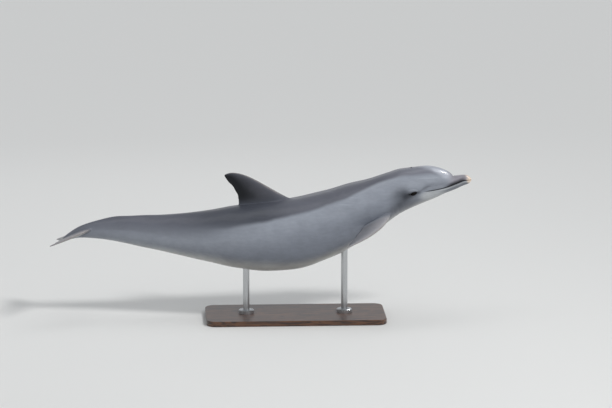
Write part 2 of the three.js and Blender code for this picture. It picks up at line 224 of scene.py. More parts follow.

# ---- markings, painted shade and painted sheen

# Edges of the dark cape, of the pale melon over it and of the belly, as [back, degrees from the ridge].
CAPE_EDGE = [
    [0, 0], [CREASE, 12], [188, 44], [262, 43], [346, 42], [422, 37], [540, 31], [657, 37], [775, 44],
    [1011, 47], [1250, 56], [1600, 66], [2000, 78], [2410, 86],
]
MELON_EDGE = [[0, 84], [CREASE, 74], [150, 62], [188, 47], [250, 25], [312, 0], [360, -30], [2410, -60]]
BELLY_EDGE = [
    [0, 128], [CREASE, 124], [300, 128], [430, 132], [560, 136], [900, 132], [1300, 128], [1600, 134],
    [1900, 150], [2200, 172], [2410, 178],
]
# Dark patches round the eye, partly its own skin and partly painted shade: distance back, distance under the
# eye, half length, half height and strength.
EYE_PATCHES = [
    [353, 1, 26, 14, 1.0], [328, -5, 18, 7, 0.6], [373, 4, 14, 6, 0.95], [380, 12, 27, 18, 0.8],
    [400, 16, 29, 28, 0.95], [409, -12, 26, 34, 0.35], [442, -2, 42, 34, 0.5], [432, 48, 58, 36, 0.35],
]
# Marks laid over one another on the skin: each field, its strength and the colour's name. Throat, chin,
# upper_lip, furrow and mouth are painted shade, eye_patch is partly so, and melon is partly a painted sheen.
MARKS = [
    ["throat", 0.7, "throat"], ["melon", 0.9, "melon"], ["cheek", 0.5, "throat"], ["beak", 0.9, "beak"],
    ["upper_lip", 0.85, "dark"], ["chin", 0.75, "chin"], ["jaw", 0.9, "lip"], ["eye_band", 0.35, "dark"],
    ["eye_patch", 0.92, "dark"], ["furrow", 0.38, "dark"], ["mouth", 0.95, "eyelid"],
]
# Other values that the skin's material reads.
SHARES = ["cape", "belly", "rear", "faded", "fore", "tip", "lid", "fin", "chord", "span", "paddle"]
# Old tooth rakes run at this angle.
RAKE_SLANT = math.radians(24)
# Clouds and mottling make the markings' edges waver by this many millimetres.
EDGE_WAVER = (24, 10)
# The lower lip's pale line: how far it is under the mouth's line, its width, where it fades out, its share at
# the front and where it grows to the whole.
LIP_LINE = [8.5, 6.5]
LIP_FADE = (190, 260)
LIP_AT_FRONT = 0.48
LIP_GROWTH = (90, 190)
# The lip's lobe: distance back, distance under the mouth's line, how much longer it is ahead and behind than
# it is high, and the distances between which it fades.
LOBE = [254, 26, 2.9, 1.85]
LOBE_FADE = (12, 46)
# The dark wedge behind the eye, painted with the lids' near-black: how far behind and under it, half length
# and half height.
EYE_CORNER = [22, 4, 13, 4.5]
# The band behind the eye: how far it is under the eye, how fast it falls rearwards and its width.
EYE_BAND = [14, 0.62, 30]
# The painted shade in the groove between the lips: its width, how much is added to it under the beak and
# which share of that lies over the mouth's line.
GAP_WIDTH = 2.5
GAP_GROWTH = 3.3
GAP_LIFT = 0.45

# ---- folds of the skin, in millimetres

# Where details and marks begin, are whole, start to fade and end, as distances back.
STRETCHES = {
    "furrow": (222, 256, 318, 336),
    "cheek folds": (150, 200, 246, 286),
    "wrinkles": (378, 392, 402, 424),
    "tail muscles": (1500, 1800, 2120, 2260),
    "slit": (1478, 1500, 1580, 1602),
    "eye band": (382, 432, 440, 560),
    "furrow mark": (222, 285, 324, 342),
    "cheek": (120, 170, 262, 320),
    "upper lip": (26, 72, CREASE + 10, 190),
    "gap": (30, 60, CREASE, 190),
}
# Where others fade in or out, as distances back.
FADES = {
    "melon": (CREASE - 6, CREASE + 10),
    "melon softness": (190, 330),
    "dark rear": (990, 1270),
    "paler tail": (1380, 1900),
    "faded": (1150, 1650),
    "fore": (330, 560),
    "beak": (CREASE - 14, CREASE + 60),
    "chin": (140, 235),
    "tip": (0, 60),
    "lips": (0, 36),
    "groove": (0, 24),
    "mouth corner": (MOUTH_CORNER - 12, MOUTH_CORNER + 12),
    "gap corner": (MOUTH_CORNER - 40, MOUTH_CORNER + 14),
    "unevenness": (300, 600),
}
# Lips beside the mouth's groove: height off its line, width and rise.
LIPS = [[5, 3.5, 0.9], [-6.5, 4.5, 1.5]]
GROOVE_WIDTH = 1.9
CREASE_WIDTH = 4.5
# The cheek's dimple: how far behind the mouth's corner and under its line, half length, half height, depth.
DIMPLE = [6, 1, 11, 7, 2.2]
# At the tip of the snout the groove keeps this share of its depth.
GROOVE_AT_TIP = 0.45
# The furrow from the eye to the beak, as [back, height over the mouth's line], with its width and depth.
FURROW_LINE = [[0, 44], [236, 35], [250, 33], [291, 19], [328, 3], [2410, 3]]
FURROW = [6.5, 1.5]
# Folds above the mouth: height off its line, width and rise.
CHEEK_FOLDS = [[14, 6, 2.2], [23, 3.2, -1.5]]
# The swelling under the eye: its width and rise. It is stretched along the body by EYE_STRETCH and leans
# back by EYE_LEAN, and so are the furrows round it.
EYE_SWELLING = [25, 3.0]
EYE_STRETCH = 1.45
EYE_LEAN = 0.15
# Furrows round the eye: distance from it, how much that grows rearwards, width, depth, and the rise over the
# distance from which each begins and at which it is deepest.
EYE_FURROWS = [[27, 0, 3.0, 2.3, 0.0, 0.75], [24, 0, 2.8, 2.0, -0.1, -0.8], [33, 0.06, 3.2, 1.5, -0.1, -0.8]]
# Wrinkles fan out behind the eye: how far behind it they meet, their slopes, width and depth.
WRINKLES_BEHIND = 8
WRINKLE_SLOPES = [-0.5, -0.12, 0.3]
WRINKLE = [2.4, 1.3]
# The ear's pinhole: how far behind the eye and under it, its width and depth.
EAR = [52, 6, 4, 1.6]
# Folds of the neck: distance back and depth. On the ridge each lies further back by NECK_LEAN, and under the
# throat further ahead.
NECK_FOLDS = [[452, 1.4], [478, 1.1], [418, 0.8]]
NECK_LEAN = 26
NECK_WIDTH = 5
# Creases behind the flipper: their middle, their distances from it, width and depth.
ARMPIT = [636, -238]
ARMPIT_CREASES = [24, 38, 52]
ARMPIT_CREASE = [4, 1.3]
# Long muscles of the tail's sides and the groove between: degrees from the ridge, width in degrees and rise.
TAIL_MUSCLES = [[58, 17, 3.0], [122, 17, 3.0], [90, 12, -2.4]]
# The slit under the tail and the navel: width and depth, and the navel's distance back.
SLIT = [6, 3.4]
NAVEL = [9, 2.6]
NAVEL_BACK = 1190

# ---- stage, in metres

FLOOR_HALF = 300
WORLD_COLOUR = "eef1f5"
WORLD_STRENGTH = 0.5
SUN_FROM = (0.5, -0.55, 0.72)
SUN_STRENGTH = 1.6
SUN_WIDTH = math.radians(12)
# Soft lamps: place, aim, width and height, and power. The spark is seen only as a glint on wet skin.
LAMPS = {
    "front": [(2.6, -4.2, 3.6), (0.3, 0, 0.6), (5.0, 3.4), 46],
    "top": [(-0.4, 0.3, 4.4), (-0.2, 0, 0.5), (4.5, 1.4), 24],
    "back": [(-0.5, 5.0, 2.8), (0, 0, 0.5), (4.0, 1.5), 9],
    "spark": [(2.386, 0.99, 3.249), (0.873, -0.042, 0.873), (0.26, 0.26), 58],
}
CAMERA_LENS = 200
CAMERA_SENSOR = 36
CAMERA_FAR_CLIP = 1000
CAMERA_DISTANCE = 20.03
CAMERA_AZIMUTH = math.radians(-3)
CAMERA_ELEVATION = math.radians(11)
# How far the picture's centre lies from the snout, to the left of it and below it.
AIM_LEFT = 0.9754
AIM_BELOW = 0.1443


# ---- curves

def curve_through(pairs):
    """A smooth function through [at, value] pairs that never swings past them."""
    at, value = np.array(pairs, float).T
    width = np.diff(at)
    step = np.diff(value) / width
    before, after = step[:-1], step[1:]
    same_way = before * after > 0
    mean = 2 * before * after / np.where(same_way, before + after, 1)
    slope = np.concatenate([step[:1], np.where(same_way, mean, 0), step[-1:]])

    def curve(x):
        x = np.asarray(x, float)
        i = np.clip(np.searchsorted(at, x, side="right") - 1, 0, len(width) - 1)
        t = np.clip((x - at[i]) / width[i], 0, 1)
        rise = t * t * (3 - 2 * t)
        lead = t * (1 - t) ** 2 * slope[i]
        trail = t * t * (t - 1) * slope[i + 1]
        return value[i] + (value[i + 1] - value[i]) * rise + width[i] * (lead + trail)

    return curve


def smooth_step(x, low, high):
    t = np.clip((np.asarray(x, float) - low) / (high - low), 0, 1)
    return t * t * (3 - 2 * t)


def between(x, low, from_here, to_here, high):
    """1 in the middle of a stretch, fading in and out at its ends."""
    return smooth_step(x, low, from_here) * (1 - smooth_step(x, to_here, high))


def bell(x, width):
    """1 in the middle, fading to nothing beyond about twice the width."""
    return np.exp(-(np.asarray(x, float) / width) ** 2)


beak_top = curve_through(BEAK_TOP)
back_line = curve_through(BACK_LINE)
underside = curve_through(UNDERSIDE)
half_width = curve_through(HALF_WIDTH)
widest_level = curve_through(WIDEST_LEVEL)
squareness = curve_through(SQUARENESS)
furrow_line = curve_through(FURROW_LINE)
EYE_LEVEL = float(widest_level(EYE_BACK))


def top_line(back):
    return np.where(back < CREASE, beak_top(back), back_line(back))


def tail_roll(back):
    return TAIL_ROLL * smooth_step(back, ROLL_START, ROLL_END)


def rounded_end(distance):
    t = np.clip(1 - distance / END_ROUNDING, 0, 1)
    return np.sqrt(1 - t * t)


def body_ends(back):
    return rounded_end(back) * rounded_end(BODY_LENGTH - back)


def skin_point(back, around):
    """A point of the body's surface: x, y and z for a distance back and an angle from the ridge."""
    rise, out = np.cos(around), np.sin(around)
    power = 2 / squareness(back)
    ends = body_ends(back)
    swept = MELON_SWEEP * out ** 2 * np.clip(1 - back / MELON_SWEEP_END, 0, 1)
    level = widest_level(back)
    above = top_line(np.maximum(back - swept, np.minimum(back, CREASE)))
    edge = np.where(rise > 0, above, underside(back))
    y = half_width(back) * ends * np.sign(out) * np.abs(out) ** power
    z = np.abs(edge - level) * ends * np.sign(rise) * np.abs(rise) ** power
    roll = tail_roll(back)
    return (
        -back,
        y * np.cos(roll) - z * np.sin(roll),
        level + y * np.sin(roll) + z * np.cos(roll),
    )


def body_place(back, y, z):
    """Where a point lies in the body's cross-section: its angle from the ridge and share of the way out."""
    roll = tail_roll(back)
    level = widest_level(back)
    ends = np.maximum(body_ends(back), 1e-3)
    across = y * np.cos(roll) + (z - level) * np.sin(roll)
    up = -y * np.sin(roll) + (z - level) * np.cos(roll)
    edge = np.where(up > 0, top_line(back), underside(back))
    power = squareness(back)
    u = (np.abs(across) / (half_width(back) * ends)) ** power
    v = (np.abs(up) / (np.abs(edge - level) * ends)) ** power
    around = np.arctan2(np.sign(across) * np.sqrt(u), np.sign(up) * np.sqrt(v))
    return around, (u + v) ** (1 / power)


def side_of_head(back, height):
    """How far out the skin of the head's side lies at a distance back and a height."""
    level = widest_level(back)
    edge = np.where(height > level, top_line(back), underside(back))
    power = squareness(back)
    share = np.clip(np.abs((height - level) / (edge - level)), 0, 1)
    return half_width(back) * (1 - share ** power) ** (1 / power)


def top_of_head(back, y):
    """How high the skin of the head's top lies."""
    power = squareness(back)
    share = np.clip(np.abs(y) / half_width(back), 0, 1)
    level = widest_level(back)
    return level + (top_line(back) - level) * (1 - share ** power) ** (1 / power)


def in_frame(x, y, z):
    """Millimetres from the snout to metres in the frame."""
    return Vector((SNOUT_AHEAD + x, y, SNOUT_HEIGHT + z)) * MM


# ---- the skin's cage

def ring_backs():
    """The distance back of each ring of the cage."""
    backs = []
    for (start, rings), (end, _) in zip(RING_STATIONS, RING_STATIONS[1:]):
        backs += [start + (end - start) * i / rings for i in range(rings)]
    return np.array(backs + [RING_STATIONS[-1][0]])


def cage_grid(bm, rings):
    """A cube cut into rings along its length and columns round it, with a grid over each end."""
    bmesh.ops.create_cube(bm, size=2)
    lengthways = [e for e in bm.edges if abs(e.verts[0].co.x - e.verts[1].co.x) > 1]
    bmesh.ops.subdivide_edges(bm, edges=lengthways, cuts=rings - 1, use_grid_fill=True)
    crossways = [e for e in bm.edges if abs(e.verts[0].co.x - e.verts[1].co.x) < TINY]
    bmesh.ops.subdivide_edges(bm, edges=crossways, cuts=SIDE_COLUMNS - 1, use_grid_fill=True)


def column_of(y, z):
    """The column, from 0 on the ridge round to COLUMNS, of a point of the cube's cross-section."""
    reach = max(abs(y), abs(z))
    if reach < TINY:
        return 0.0
    y, z = y / reach, z / reach
    # The turn is in eighths, so each side of the cube takes two.
    if z > 1 - TINY:
        turn = y if y >= 0 else 8 + y
    elif y > 1 - TINY:
        turn = 2 - z
    elif z < -1 + TINY:
        turn = 4 - y
    else:
        turn = 6 + z
    return turn / 8 * COLUMNS


def column_angle(back, column, reach):
    """The angle from the ridge of a column, closer together beside the mouth and slanted at the flippers."""
    turn = column / COLUMNS * 4
    quarter = np.round((turn - 1) / 2) * 2 + 1
    off = turn - quarter
    tight = 1 + MOUTH_TIGHTNESS * reach * (1 - smooth_step(back, MOUTH_CORNER - 20, MOUTH_CORNER + 50))
    angle = (quarter + np.sign(off) * np.abs(off) ** tight) * math.pi / 2
    near, along, across = FLIPPER_SLANT_REACH
    ahead = back - FLIPPER_ROOT[0]
    for root, side in ((FLIPPER_TURN, 1), (8 - FLIPPER_TURN, -1)):
        shift = bell(ahead, along) * bell(turn * 2 - root, across)
        angle = angle + side * FLIPPER_SLANT * ahead / near * shift
    return angle


def crease_shift(ring, angle):
    """How far a ring falls back from its station, so that the rings follow the melon's crease."""
    sweep = MELON_SWEEP * np.sin(angle) ** 2
    at_crease = (CREASE + sweep) / (1 + sweep / MELON_SWEEP_END) - CREASE
    strength = smooth_step(ring, END_ROUNDING, CREASE) * (1 - smooth_step(ring, CREASE, MELON_SWEEP_END))
    return at_crease * strength


def shape_cage(bm):
    """Moves the cube's grid onto the body, and notes each corner's ring, column and station."""
    stations = ring_backs()
    rings = len(stations) - 1
    cage_grid(bm, rings)
    names = ("ring", "column", "station", "fin", "chord", "span", "lid")
    layer = {name: bm.verts.layers.float.new(name) for name in names}
    bm.verts.ensure_lookup_table()
    for vert in bm.verts:
        ring = round((1 - vert.co.x) / 2 * rings)
        reach = max(abs(vert.co.y), abs(vert.co.z))
        station = stations[ring]
        if ring == 0:
            station = END_ROUNDING * (1 - math.cos(CAP_ANGLE * reach))
        elif ring == rings:
            station = BODY_LENGTH - END_ROUNDING * (1 - math.cos(CAP_ANGLE * reach))
        column = column_of(vert.co.y, vert.co.z)
        vert[layer["ring"]] = -1 if reach < 1 - TINY else ring
        vert[layer["column"]] = column
        angle = column_angle(station, column, reach)
        back = station + crease_shift(station, angle)
        vert[layer["station"]] = station
        vert.co = in_frame(*skin_point(back, angle))
    return layer, list(stations)


def patch_share(vert, layer, patch):
    """Where a corner lies in its patch: 0 to 1 from front to back, and -1 to 1 across it."""
    first, last, middle, half = patch
    along = (vert[layer["ring"]] - first) / (last - first)
    off = (vert[layer["column"]] - middle + COLUMNS / 2) % COLUMNS - COLUMNS / 2
    return along, off / half


def patch_faces(bm, layer, stations, spans, columns, side=1):
    """The faces of the cage between two stations and two columns, which are the left side's."""
    first, last = (min(range(len(stations)), key=lambda i: abs(stations[i] - s)) for s in spans)
    middle = sum(columns) / 2
    patch = (first, last, middle if side > 0 else COLUMNS - middle, (columns[1] - columns[0]) / 2)

    def within(vert):
        along, across = patch_share(vert, layer, patch)
        return -NEAR <= along <= 1 + NEAR and abs(across) <= 1 + NEAR

    return [f for f in bm.faces if all(within(v) for v in f.verts)], patch


def extrude_layers(bm, faces, layers, place):
    """Extrudes a patch layer by layer, and place(corner, layer) puts each new corner where it belongs."""
    for layer in layers:
        made = bmesh.ops.extrude_face_region(bm, geom=faces)["geom"]
        covered = [f for f in faces if f.is_valid]
        bmesh.ops.delete(bm, geom=covered, context="FACES")
        faces = [g for g in made if isinstance(g, bmesh.types.BMFace)]
        for vert in {v for f in faces for v in f.verts}:
            place(vert, layer)


# ---- fins of the skin

def bezier(points, share):
    a, b, c, d = (Vector(p) for p in points)
    rest = 1 - share
    return rest ** 3 * a + 3 * rest ** 2 * share * b + 3 * rest * share ** 2 * c + share ** 3 * d


def blade_section(chord):
    """The half thickness of a blade at a share of its chord, over its greatest one."""
    t = min(max(chord, 0), 1)
    return sum(term * t ** power for term, power in zip(SECTION_TERMS, (0.5, 1, 2, 3, 4)))


# Each of these gives a function that puts a point of a fin's own drawing in its place on the body.

def settle_dorsal(side):
    return lambda back, outward, offset: (-back, offset, outward)


def settle_flipper(side):
    root_back, root_out, root_height = FLIPPER_ROOT

    def settle(back, outward, offset):
        chord = back * math.cos(FLIPPER_PITCH)
        lift = offset + back * math.sin(FLIPPER_PITCH)
        return (
            -(root_back + chord),
            side * (root_out + outward * math.cos(FLIPPER_DROOP) + lift * math.sin(FLIPPER_DROOP)),
            root_height - outward * math.sin(FLIPPER_DROOP) + lift * math.cos(FLIPPER_DROOP),
        )

    return settle


def settle_fluke(side):
    root_back, root_height = FLUKE_ROOT

    def settle(back, outward, offset):
        y = side * outward * math.cos(TAIL_ROLL) - offset * math.sin(TAIL_ROLL)
        lift = side * outward * math.sin(TAIL_ROLL) + offset * math.cos(TAIL_ROLL)
        return (
            -(root_back + back * math.cos(FLUKE_PITCH) + lift * math.sin(FLUKE_PITCH)),
            y,
            root_height - back * math.sin(FLUKE_PITCH) + lift * math.cos(FLUKE_PITCH),
        )

    return settle


def span_at_skin(blade, settle, chord):
    """The share of the span at which a blade's middle plane comes out of the body."""
    inner, outer = ROOT_SPANS
    for _ in range(ROOT_HALVINGS):
        middle = (inner + outer) / 2
        point = bezier(blade["lead"], middle).lerp(bezier(blade["trail"], middle), chord)
        x, y, z = settle(point.x, point.y, 0)
        outside = -x > BODY_LENGTH - 1 or body_place(-x, y, z)[1] > 1
        inner, outer = (inner, middle) if outside else (middle, outer)
    return outer


def grow_fin(bm, layer, stations, blade, settle_fin, side):
    """Extrudes a fin out of its patch of the cage."""
    faces, patch = patch_faces(bm, layer, stations, blade["stations"], blade["columns"], side)
    thickness = curve_through(blade["thickness"])
    at_root, growth = FIN_SHARE
    settle = settle_fin(side)

    def place(vert, share):
        along, across = patch_share(vert, layer, patch)
        turn = FIN_EDGE_TURN + along * (math.pi - 2 * FIN_EDGE_TURN)
        lift = across
        if along < NEAR or along > 1 - NEAR:
            turn = abs(across) * FIN_EDGE_TURN
            turn = turn if along < 0.5 else math.pi - turn
            lift = np.sign(across)
        chord = (1 - math.cos(turn)) / 2
        emerges = span_at_skin(blade, settle, chord)
        span = emerges + share * (1 - emerges)
        near_tip = max(span - TIP_ROUNDING, 0) / (1 - TIP_ROUNDING)
        held = (chord - 0.5) * math.sqrt(1 - near_tip ** 2) + 0.5
        point = bezier(blade["lead"], span).lerp(bezier(blade["trail"], span), held)
        half = float(thickness(span)) / 2 * blade_section(chord) + EDGE_ROUNDING * math.sin(turn)
        # The columns of the left side run downwards.
        vert.co = in_frame(*settle(point.x, point.y, -side * lift * half))
        vert[layer["fin"]] = min(at_root + growth * share, 1)
        vert[layer["chord"]] = chord
        vert[layer["span"]] = share

    extrude_layers(bm, faces, FIN_LAYERS, place)


# ---- eyes and blowhole of the skin

def loop_angle(along, across, patch):
    """The angle of a corner round its patch, with the corners of each loop evenly spread."""
    first, last, _, half = patch
    rows = last - first
    if along > 1 - NEAR:
        steps = abs(across) * half
    elif along < NEAR:
        steps = half * (2 - abs(across)) + rows
    else:
        steps = half + (1 - along) * rows
    turn = steps / (2 * (rows + 2 * half)) * 2 * math.pi
    return turn if across >= 0 else -turn


def is_inner(along, across):
    return NEAR < along < 1 - NEAR and abs(across) < 1 - NEAR


def sink_eye(bm, layer, stations, side):
    """Draws the skin round an eye into folds, lids and the cup behind the ball."""
    faces, patch = patch_faces(bm, layer, stations, EYE_STATIONS, EYE_COLUMNS, side)
    ball_out = float(half_width(EYE_BACK)) - EYE_SINK
    folds = [("fold", *f) for f in EYE_FOLDS] + [("lid", *e) for e in LID_EDGES]
    folds += [("cup", a, 0, 0, 1) for a in CUP_ANGLES]

    def place(vert, fold):
        kind, length, height, lift, darkness = fold
        along, across = patch_share(vert, layer, patch)
        # The columns of the right side run upwards.
        across *= side
        turn = loop_angle(along, across, patch)
        inner = is_inner(along, across)
        middle = 2 * along - 1
        vert[layer["lid"]] = darkness
        if kind == "cup":
            reach = CUP_RADIUS * math.sin(length)
            out = ball_out + CUP_RADIUS * math.cos(length)
            if inner:
                reach *= abs(middle)
                turn = 0 if middle > 0 else math.pi
                out -= CUP_DISH * (1 - abs(middle)) * CUP_RADIUS * (1 + math.cos(length))
            back, z = EYE_BACK + reach * math.cos(turn), EYE_LEVEL - reach * math.sin(turn)
            vert.co = in_frame(-back, side * out, z)
            return
        rearward = length * math.cos(turn)
        up = -height * math.sin(turn) * (1 - LID_PINCH + LID_PINCH * abs(math.sin(turn)))
        if inner:
            rearward, up = length * middle * PATCH_MIDDLE, 0
        back = EYE_BACK + rearward * math.cos(EYE_TILT) + up * math.sin(EYE_TILT)
        z = EYE_LEVEL + rearward * math.sin(EYE_TILT) + up * math.cos(EYE_TILT)
        on_body = float(side_of_head(back, z))
        near = math.hypot(back - EYE_BACK, z - EYE_LEVEL)
        on_ball = ball_out + math.sqrt(max(EYE_RADIUS ** 2 - near ** 2, 0))
        if kind == "fold":
            out = max(on_body + lift, on_ball + lift + FOLD_CLEARANCE if near < BALL_REACH else 0)
        else:
            out = max(on_ball + lift, on_body - LID_SINK)
        vert.co = in_frame(-back, side * out, z)

    extrude_layers(bm, faces, folds, place)


def sink_blowhole(bm, layer, stations):
    """Draws the skin on top of the head into the blowhole."""
    faces, patch = patch_faces(bm, layer, stations, BLOWHOLE_STATIONS, BLOWHOLE_COLUMNS)

    def place(vert, edge):
        width, length, lift = edge
        along, across = patch_share(vert, layer, patch)
        turn = loop_angle(along, across, patch)
        y, off = width * math.sin(turn), length * math.cos(turn)
        if is_inner(along, across):
            y, off = 0, length * (2 * along - 1) * BLOWHOLE_MIDDLE
        back = BLOWHOLE_BACK + off - BLOWHOLE_BEND * (y / BLOWHOLE_EDGES[0][0]) ** 2
        vert.co = in_frame(-back, y, float(top_of_head(back, y)) + lift)
        # The lips are painted a little dark and the sunken slit darkest: painted shade in the hole.
        vert[layer["lid"]] = LIP_DARKNESS if lift > 0 else 1

    extrude_layers(bm, faces, BLOWHOLE_EDGES, place)


# ---- the skin

def add_object(name, data):
    holder = bpy.data.objects.new(name, data)
    bpy.context.scene.collection.objects.link(holder)
    return holder


def mesh_object(bm, name):
    mesh = bpy.data.meshes.new(name)
    bm.to_mesh(mesh)
    bm.free()
    return add_object(name, mesh)


def sort_parts(bm):
    """Sorts corners, edges and faces by where they lie, so that every run gives them in the same order."""
    def place(part):
        corners = [part] if isinstance(part, bmesh.types.BMVert) else part.verts
        return math.fsum(corner.co.dot(SORTING_LINE) for corner in corners)

    for parts in (bm.verts, bm.edges, bm.faces):
        parts.sort(key=place)


def smooth_surface(rough, name):
    """The cage's subdivision surface as a mesh object of its own."""
    # Each edge runs from its first corner to its later one, again so that every run is the same.
    ends = np.empty(len(rough.data.edges) * 2, int)
    rough.data.edges.foreach_get("vertices", ends)
    rough.data.edges.foreach_set("vertices", np.sort(ends.reshape(-1, 2)).ravel())
    finish = rough.modifiers.new("smooth", "SUBSURF")
    finish.levels = SKIN_LEVELS
    finish.render_levels = SKIN_LEVELS
    bpy.context.view_layer.update()
    mesh = bpy.data.meshes.new_from_object(rough.evaluated_get(bpy.context.evaluated_depsgraph_get()))
    bpy.data.meshes.remove(rough.data)
    mesh.name = name
    mesh.shade_smooth()
    return add_object(name, mesh)


def read_points(mesh):
    """The mesh's points in millimetres from the snout, with their normals."""
    points = np.empty(len(mesh.vertices) * 3)
    mesh.vertices.foreach_get("co", points)
    normals = np.empty(len(mesh.vertices) * 3)
    mesh.vertex_normals.foreach_get("vector", normals)
    points = points.reshape(-1, 3) / MM - (SNOUT_AHEAD, 0, SNOUT_HEIGHT)
    return points, normals.reshape(-1, 3)


def write_points(mesh, points):
    moved = (points + (SNOUT_AHEAD, 0, SNOUT_HEIGHT)) * MM
    mesh.vertices.foreach_set("co", moved.ravel())
    mesh.update()


def read_values(mesh, name):
    values = np.empty(len(mesh.vertices))
    mesh.attributes[name].data.foreach_get("value", values)
    return values


def mouth_groove(back, off, sizes):
    """The groove between the jaws and the lips beside it, for a height off the mouth's line."""
    lips = sum(rise * bell(off - at, width) for at, width, rise in LIPS) * smooth_step(back, *FADES["lips"])
    share = GROOVE_AT_TIP + (1 - GROOVE_AT_TIP) * smooth_step(back, *FADES["groove"])
    groove = sizes.mouth_depth / MM * share * bell(off, GROOVE_WIDTH)
    return (lips - groove) * (1 - smooth_step(back, *FADES["mouth corner"]))


def eye_folds(back, above):
    """The low swelling on which an eye sits, with the furrows over and under it."""
    from_eye = np.hypot((back - EYE_BACK - EYE_LEAN * above) / EYE_STRETCH, above)
    rise = above / np.maximum(from_eye, 1)
    width, height = EYE_SWELLING
    move = height * bell(from_eye, width)
    for distance, growth, width, depth, start, end in EYE_FURROWS:
        off = from_eye - distance - growth * (back - EYE_BACK)
        move -= depth * bell(off, width) * smooth_step(rise, start, end)
    return move


def eye_wrinkles(back, above):
    """Wrinkles behind an eye and the pinhole of the ear."""
    width, depth = WRINKLE
    move = 0
    for slope in WRINKLE_SLOPES:
        off = above - slope * (back - EYE_BACK - WRINKLES_BEHIND)
        move -= depth * between(back, *STRETCHES["wrinkles"]) * bell(off, width)
    behind, below, width, depth = EAR
    return move - depth * bell(np.hypot(back - EYE_BACK - behind, above + below), width)


def surface_detail(mesh, points, sizes):
    """How far each point of the skin moves out, in millimetres."""
    back, y, z = -points[:, 0], points[:, 1], points[:, 2]
    station, fin, lid = (read_values(mesh, name) for name in ("station", "fin", "lid"))
    # 1 on the body, and nothing on the fins.
    free = 1 - np.clip(fin * 1.5, 0, 1)
    around, _ = body_place(back, y, z)
    turn = np.abs(np.degrees(around))
    off_mouth = z - widest_level(back)
    side = (turn > 40) & (turn < 150)
    under = turn > 150

    move = mouth_groove(back, off_mouth, sizes)
    # The crease between beak and melon is deepest on top. The cheek dimples behind the corner of the mouth.
    move -= sizes.crease_depth / MM * bell(station - CREASE, CREASE_WIDTH) * (1 - smooth_step(turn, 40, 86))
    behind, below, length, height, depth = DIMPLE
    move -= depth * bell(back - MOUTH_CORNER - behind, length) * bell(off_mouth + below, height)
    # A furrow runs from the eye's front corner towards the beak, over a fold that swells above the mouth.
    width, depth = FURROW
    move -= depth * between(back, *STRETCHES["furrow"]) * bell(off_mouth - furrow_line(back), width)
    for at, width, rise in CHEEK_FOLDS:
        move += rise * between(back, *STRETCHES["cheek folds"]) * bell(off_mouth - at, width)
    move += eye_folds(back, z - EYE_LEVEL) * (1 - lid) * side
    move += eye_wrinkles(back, z - EYE_LEVEL) * side

    # Folds of the neck, on the sides and under the throat, and creases behind the flippers.
    for at, depth in NECK_FOLDS:
        lean = at + NECK_LEAN * np.cos(around)
        move -= depth * bell(back - lean, NECK_WIDTH) * smooth_step(turn, 80, 120) * free
    armpit = np.hypot((back - ARMPIT[0]) / 0.7, z - ARMPIT[1])
    width, depth = ARMPIT_CREASE
    for ring in ARMPIT_CREASES:
        move -= depth * bell(armpit - ring, width) * free * (turn > 95) * side

    tail = between(back, *STRETCHES["tail muscles"]) * free
    for at, width, rise in TAIL_MUSCLES:
        move += rise * tail * bell(turn - at, width)
    width, depth = SLIT
    move -= depth * between(back, *STRETCHES["slit"]) * bell(y, width) * under
    width, depth = NAVEL
    move -= depth * bell(np.hypot(back - NAVEL_BACK, y), width) * under

    # Nothing living is quite even: long slow waves cross one another.
    swell = np.sin(back / 61 + 2.1 * np.cos(around)) * np.sin(back / 97 + 3 * around)
    swell += 0.6 * np.sin(back / 33 + 4.3 * around) * np.sin(back / 143 - 2 * around)
    return move + sizes.unevenness / MM * swell * smooth_step(back, *FADES["unevenness"]) * free


def trim_edges(mesh, points):
    """Gives the trailing edges of the fins a slight wave."""
    chord, span, fin = (read_values(mesh, name) for name in ("chord", "span", "fin"))
    far, often, start = EDGE_WAVE
    points[:, 0] += smooth_step(chord, 0.7, 1) * (fin > 0.9) * far * np.sin(span * often + start)


